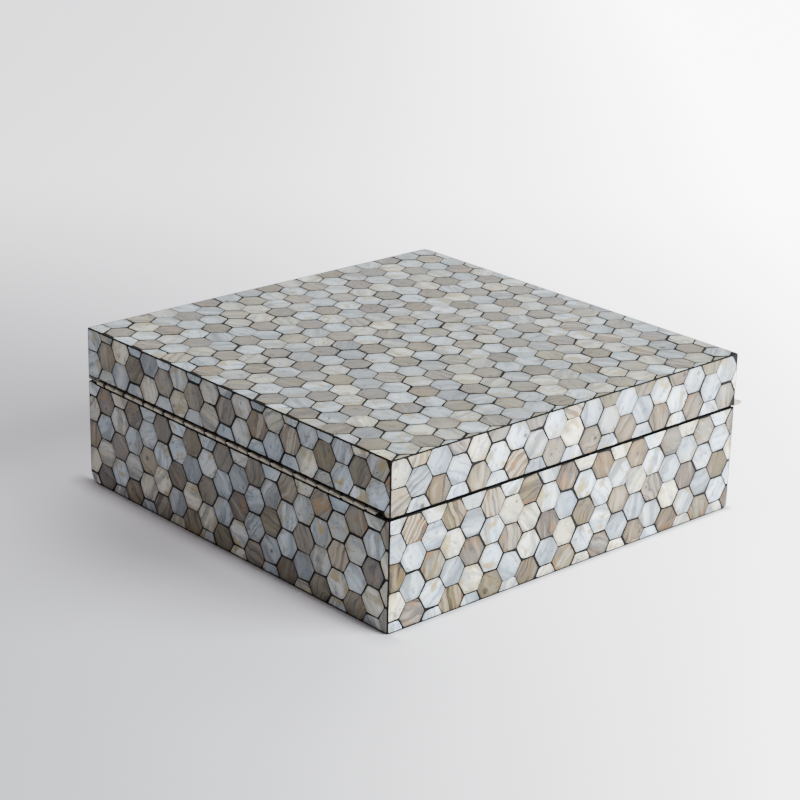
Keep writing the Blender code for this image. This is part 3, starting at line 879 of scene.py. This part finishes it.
def add_roll(shape, axis, start, stop, side, radius, thick):
    """One knuckle: the curl drawn along the axis, with broken edges at both ends."""
    edge = KNUCKLE_EDGE
    rings = []
    for place, shrink in ((start, edge), (start + edge, 0.0), (stop - edge, 0.0), (stop, edge)):
        tail = radius + LEAF_NOTCH + KNUCKLE_EDGE
        outline = roll_outline(side, radius - shrink, radius - thick + shrink * 0.3, tail, radius - thick)
        rings.append([shape.verts.new((place, axis.y + along, axis.z + rise)) for along, rise in outline])
    count = len(rings[0])
    made = [shape.faces.new(rings[0]), shape.faces.new(rings[-1][::-1])]
    # The end faces take the nearly black metal of painted shade
    for cap in made:
        cap.material_index = 1
    for first, second in zip(rings, rings[1:]):
        for index in range(count):
            after = (index + 1) % count
            polygon = shape.faces.new((first[after], first[index], second[index], second[after]))
            polygon.smooth = True
            made.append(polygon)
    bmesh.ops.recalc_face_normals(shape, faces=made)


def turned(profile, sides):
    """A bmesh of (radius, height) points turned about Z; a radius of 0 is a point on the axis."""
    shape = bmesh.new()
    rings = []
    for radius, height in profile:
        if radius == 0.0:
            rings.append([shape.verts.new((0, 0, height))])
            continue
        angles = [math.tau * side / sides for side in range(sides)]
        rings.append([shape.verts.new((radius * math.cos(a), radius * math.sin(a), height)) for a in angles])
    for first, second in zip(rings, rings[1:]):
        for side in range(sides):
            after = (side + 1) % sides
            if len(first) == 1:
                shape.faces.new((first[0], second[side], second[after]))
            elif len(second) == 1:
                shape.faces.new((first[after], first[side], second[0]))
            else:
                shape.faces.new((first[after], first[side], second[side], second[after]))
    bmesh.ops.recalc_face_normals(shape, faces=shape.faces)
    return shape


def screw_spots(side):
    """The middles of one leaf's screw heads, read from its CAD screws."""
    prefix = "lid_screw" if side > 0 else "base_screw"
    spots = []
    for index in range(1, SCREWS_PER_LEAF + 1):
        low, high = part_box(f"{prefix}_{index}")
        height = low.z if side > 0 else high.z
        spots.append(Vector(((low.x + high.x) / 2, (low.y + high.y) / 2, height)))
    return spots


def facing(side):
    """The lid's screws point up and the base's point down."""
    return Matrix.Rotation(math.pi, 4, "X") if side > 0 else Matrix.Identity(4)


def build_screws(side, body):
    """Countersunk screws with a cross recess, each turned its own way."""
    chance = random.Random(71 + side)
    radius = SCREW_HEAD_RADIUS
    profile = [(0.0, 0.0), (radius * 0.88, 0.0), (radius, -0.00014), (0.0011, -0.0010), (0.0011, -0.0062)]
    profile += [(0.0005, -0.0080), (0.0, -0.0085)]
    prefix = "lid_screw" if side > 0 else "base_screw"
    for index, spot in enumerate(screw_spots(side), start=1):
        arms = [block((-0.0011, -0.0002, -0.0007), (0.0011, 0.0002, 0.0004)),
                block((-0.0002, -0.0011, -0.0007), (0.0002, 0.0011, 0.0004))]
        shape = carve(f"{prefix}_{index}", turned(profile, 28), arms, 0.00004)
        turn = Matrix.Rotation(chance.uniform(0, math.pi), 4, "Z")
        bmesh.ops.transform(shape, matrix=Matrix.Translation(spot) @ facing(side) @ turn, verts=shape.verts)
        finish_piece(f"hinge_{prefix}_{index}", shape, (screw_metal,), body, (f"{prefix}_{index}",))


def build_hinge():
    """Two leaves with their knuckles rolled round the pin, the pin, and the screws."""
    pin_low, pin_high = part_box("hinge_pin")
    axis = (pin_low + pin_high) / 2
    middle = (leaf_low.x + leaf_high.x) / 2
    half = (leaf_high.x - leaf_low.x) / 2
    joints = [step * KNUCKLE_PITCH for step in range(-JOINTS_EACH_SIDE, JOINTS_EACH_SIDE + 1)]
    gaps = [WIDE_JOINT if step % 2 == 0 else NARROW_JOINT for step in range(len(joints))]
    places = [-half, *joints, half]
    gaps = [0.0, *gaps, 0.0]
    for side, body in ((-1, "base"), (1, "lid")):
        node = f"hinge_leaf_{body}"
        low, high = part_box(node)
        radius = high.y - axis.y - BARREL_TRIM
        plate_low = high.z - LEAF_THICKNESS if side > 0 else low.z
        outer = axis.y - radius - LEAF_NOTCH
        slab = block((low.x, low.y, plate_low), (high.x, outer, plate_low + LEAF_THICKNESS))
        holes = []
        for spot in screw_spots(side):
            sink = turned([(0.0, 0.0006), (SCREW_HEAD_RADIUS + 0.00022, 0.0006),
                           (SCREW_HEAD_RADIUS + 0.00022, -0.0001), (0.0013, -0.0011), (0.0, -0.0011)], 28)
            bmesh.ops.transform(sink, matrix=Matrix.Translation(spot) @ facing(side), verts=sink.verts)
            holes.append(sink)
        shape = carve(node, slab, holes, 0.00010)
        for index in range(0 if side < 0 else 1, len(places) - 1, 2):
            start = middle + places[index] + gaps[index] / 2
            stop = middle + places[index + 1] - gaps[index + 1] / 2
            add_roll(shape, axis, start, stop, side, radius, LEAF_THICKNESS)
        finish_piece(f"{node}_rolled", shape, (hinge_metal, knuckle_end_painted_shade), body, (node,))
        build_screws(side, body)
    pin_radius = (pin_high.z - pin_low.z) / 2
    pin = turned([(0.0, half), (pin_radius * 0.7, half - 0.0001), (pin_radius, half - 0.0004),
                  (pin_radius, 0.0004 - half), (pin_radius * 0.7, 0.0001 - half), (0.0, -half)], 24)
    turn = Matrix.Translation(axis) @ Matrix.Rotation(math.pi / 2, 4, "Y")
    bmesh.ops.transform(pin, matrix=turn, verts=pin.verts)
    for polygon in pin.faces:
        polygon.smooth = True
    finish_piece("hinge_pin_round", pin, (screw_metal,), "base", ("hinge_pin",))


build_hinge()


def build_tab():
    """The smooth bone tab: a loft whose top slopes down, and whose belly turns up, to a thin tip."""
    low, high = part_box("lift_tab")
    shape = bmesh.new()
    rings = []
    reach = high.y - low.y
    middle_x = (low.x + high.x) / 2
    for section in range(TAB_SECTIONS + 1):
        share = section / TAB_SECTIONS
        y = high.y - reach * share
        ending = math.sqrt(max(0.0, 1 - max(0.0, (share - 0.85) / 0.15) ** 2))
        half_x = (high.x - low.x) / 2 * (0.80 + 0.20 * ending)
        bottom = low.z - TAB_BELLY + TAB_UPTURN * max(0.0, share * 2 - 1) ** 2
        top = high.z - (high.z - low.z - TAB_TIP_TOP) * share**0.8
        half_z = (top - bottom) / 2 * (0.35 + 0.65 * ending)
        middle_z = (top + bottom) / 2
        ring = []
        for side in range(TAB_SIDES):
            angle = math.tau * side / TAB_SIDES
            across = math.copysign(abs(math.cos(angle)) ** TAB_ROUNDNESS, math.cos(angle))
            rise = math.copysign(abs(math.sin(angle)) ** TAB_ROUNDNESS, math.sin(angle))
            ring.append(shape.verts.new((middle_x + half_x * across, y, middle_z + half_z * rise)))
        rings.append(ring)
    for first, second in zip(rings, rings[1:]):
        for side in range(TAB_SIDES):
            after = (side + 1) % TAB_SIDES
            shape.faces.new((first[side], first[after], second[after], second[side]))
    shape.faces.new(rings[0][::-1])
    shape.faces.new(rings[-1])
    bmesh.ops.recalc_face_normals(shape, faces=shape.faces)
    for polygon in shape.faces:
        polygon.smooth = len(polygon.verts) == 4
    finish_piece("lift_tab_bone", shape, (bone,), "lid", ("lift_tab",))


build_tab()


# The stage, lights and camera

def view_axes():
    """The camera's right, up and back directions."""
    azimuth, elevation = math.radians(VIEW_AZIMUTH), math.radians(VIEW_ELEVATION)
    back = Vector((math.sin(azimuth) * math.cos(elevation), -math.cos(azimuth) * math.cos(elevation), math.sin(elevation)))
    right = Vector((0, 0, 1)).cross(back).normalized()
    up = back.cross(right)
    roll = math.radians(VIEW_ROLL)
    return (right * math.cos(roll) + up * math.sin(roll), up * math.cos(roll) - right * math.sin(roll), back)


def build_camera():
    right, up, back = view_axes()
    lens = bpy.data.cameras.new("camera")
    lens.sensor_width = SENSOR_WIDTH
    lens.lens = FOCAL_LENGTH
    camera = link(bpy.data.objects.new("camera", lens))
    place = back * VIEW_DISTANCE + right * VIEW_RIGHT + up * VIEW_UP
    turn = Matrix((right, up, back)).transposed().to_4x4()
    camera.matrix_world = Matrix.Translation(place) @ turn
    bpy.context.scene.camera = camera


def build_stage():
    """A pale round floor with a low rim far out, brighter towards the right, where a studio window would be."""
    azimuth = math.radians(VIEW_AZIMUTH)
    away = (-math.sin(azimuth), math.cos(azimuth), 0.0)
    rightward = (away[1], -away[0], 0.0)
    shader = Shader("pale_floor")
    place = object_place(shader)
    grey = shader.noise(place, 3.0, 2.0, 0.5)
    colour = shader.mix(grey, (0.770, 0.762, 0.810), (0.790, 0.782, 0.830))

    def dot(direction, low, high):
        node = shader.add("ShaderNodeVectorMath", {"operation": "DOT_PRODUCT"}, i0=place, i1=direction)
        limited = shader.math("MAXIMUM", node.outputs["Value"], low)
        return shader.math("MINIMUM", limited, high)

    power = shader.math("ADD", shader.math("MULTIPLY", dot(rightward, -0.7, 0.40), GLOW_TO_RIGHT), GLOW_LEVEL)
    power = shader.math("ADD", power, shader.math("MULTIPLY", dot(away, -0.5, 0.9), GLOW_TO_BACK))
    power = shader.math("ADD", power, shader.math("MULTIPLY", dot(rightward, -0.7, 0.0), GLOW_ON_LEFT))
    near_right = shader.math("MULTIPLY", dot(away, -0.5, 0.0), dot(rightward, -0.4, 0.4))
    power = shader.math("SUBTRACT", power, shader.math("MULTIPLY", near_right, GLOW_NEAR_RIGHT))
    behind = shader.ease(dot(away, 0.0, 2.0), 0.2, 1.0, 0.0, GLOW_FAR)
    glow = shader.math("ADD", shader.math("EXPONENT", power), behind)
    for amount, to_right, to_back, reach in GLOW_SPOTS:
        spot = Vector(rightward) * to_right + Vector(away) * to_back
        gap = shader.add("ShaderNodeVectorMath", {"operation": "DISTANCE"}, i0=place, i1=spot).outputs["Value"]
        glow = shader.math("ADD", glow, shader.ease(gap, 0.0, reach, amount, 0.0))
    glow = shader.math("MAXIMUM", glow, 0.0)
    near, near_stop, near_share = GLOW_NEAR_FADE
    glow = shader.math("MULTIPLY", glow, shader.ease(dot(away, -3.0, 3.0), near, near_stop, near_share, 1.0))
    x, y, height = shader.add("ShaderNodeSeparateXYZ", None, i0=place).outputs
    glow = shader.math("MULTIPLY", glow, shader.ease(height, 0.15, 0.60, 1.0, 0.0))
    glow = shader.math("MULTIPLY", glow, shader.ease(dot(rightward, -3.0, 3.0), 0.8, 1.8, 1.0, 0.25))

    # The floor's own glow is dimmer close to the foot of the box, as light is in a contact shadow
    sides = []
    for value, edge in ((x, X), (y, Y)):
        beyond = shader.math("MAXIMUM", shader.math("SUBTRACT", shader.math("ABSOLUTE", value), edge), 0.0)
        sides.append(shader.math("POWER", beyond, 2.0))
    foot = shader.math("SQRT", shader.math("ADD", *sides))
    glow = shader.math("MULTIPLY", glow, shader.ease(foot, 0.0, FOOT_SHADE[0], FOOT_SHADE[1], 1.0))
    at_back = shader.ease(y, Y - 0.004, Y)
    lift = shader.math("MULTIPLY", shader.ease(foot, 0.0, BACK_SHADE[0], 1.0 - BACK_SHADE[1], 0.0), at_back)
    glow = shader.math("MULTIPLY", glow, shader.math("SUBTRACT", 1.0, lift))
    shader.set(Base_Color=colour, Roughness=0.8, Specular_IOR_Level=0.2, Emission_Color=(0.965, 0.945, 1.0, 1.0))
    shader.feed(shader.bsdf, "Emission Strength", glow)
    flat = FLOOR_RADIUS
    profile = [(0.3, 0.0), (1.0, 0.0), (flat, 0.0)]
    for step in range(1, 13):
        angle = math.pi / 2 * step / 12
        profile.append((flat + FLOOR_RIM * math.sin(angle), FLOOR_RIM * (1 - math.cos(angle))))
    shape = turned([(0.0, 0.0), *profile], 96)
    for polygon in shape.faces:
        polygon.smooth = True
        if polygon.normal.z < 0:
            polygon.normal_flip()
    mesh = bpy.data.meshes.new("sweep")
    shape.to_mesh(mesh)
    shape.free()
    sweep = link(bpy.data.objects.new("sweep", mesh))
    mesh.materials.append(shader.material)


def softbox(name, place, target, size, power, colour=(1.0, 1.0, 1.0)):
    lamp = bpy.data.lights.new(name, "AREA")
    lamp.shape = "RECTANGLE"
    lamp.size, lamp.size_y = size
    lamp.energy = power
    lamp.color = colour
    light = link(bpy.data.objects.new(name, lamp))
    light.location = place
    light.rotation_euler = (Vector(target) - Vector(place)).to_track_quat("-Z", "Y").to_euler()


def build_lights():
    softbox("key", (-1.80, -0.95, 1.18), (0, 0, 0.05), (1.6, 1.6), 150.0, (0.945, 1.0, 0.980))
    softbox("overhead", (0.3, -0.9, 2.0), (0, 0, 0), (1.6, 1.2), 7.0)
    softbox("behind", (2.10, -1.90, 1.15), (0, 0, 0.1), (2.6, 1.1), 13.0)
    softbox("fill", (0.80, 0.80, 0.45), (0.17, 0.17, 0.06), (0.7, 0.6), 2.0, (1.0, 0.88, 0.85))
    world = bpy.data.worlds.new("studio")
    world.use_nodes = True
    world.node_tree.nodes["Background"].inputs["Color"].default_value = (1.0, 0.94, 0.95, 1.0)
    world.node_tree.nodes["Background"].inputs["Strength"].default_value = 0.07
    bpy.context.scene.world = world


build_camera()
build_stage()
build_lights()
